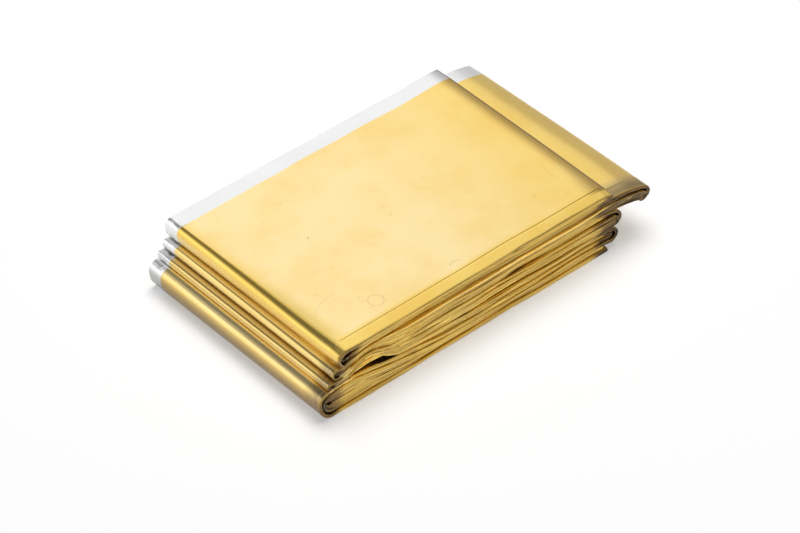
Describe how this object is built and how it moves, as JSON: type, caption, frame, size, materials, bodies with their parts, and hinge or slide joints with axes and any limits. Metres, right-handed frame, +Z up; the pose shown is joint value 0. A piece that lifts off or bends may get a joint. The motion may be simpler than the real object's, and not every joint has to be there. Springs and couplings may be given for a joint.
{
  "type": "emergency foil blanket",
  "caption": "Folded emergency foil blanket: one gold and silver film sheet, halved into a strip and zigzagged into a flat packet.",
  "frame": {"origin": "middle of the packet's footprint, on the surface it rests on", "axes": "+X along the packet from the rounded loops towards the staggered flap ends, -Y towards the edge with the strip's rounded folds, +Y towards the silver margin, +Z up"},
  "size_m": [0.1499, 0.0894, 0.0256],
  "materials": {
    "foil": "mirror-bright metallised film, gold lacquer on the outside with a bare silver margin"
  },
  "bodies": {
    "root": {"foil_blanket": "foil"}
  },
  "joints": []
}
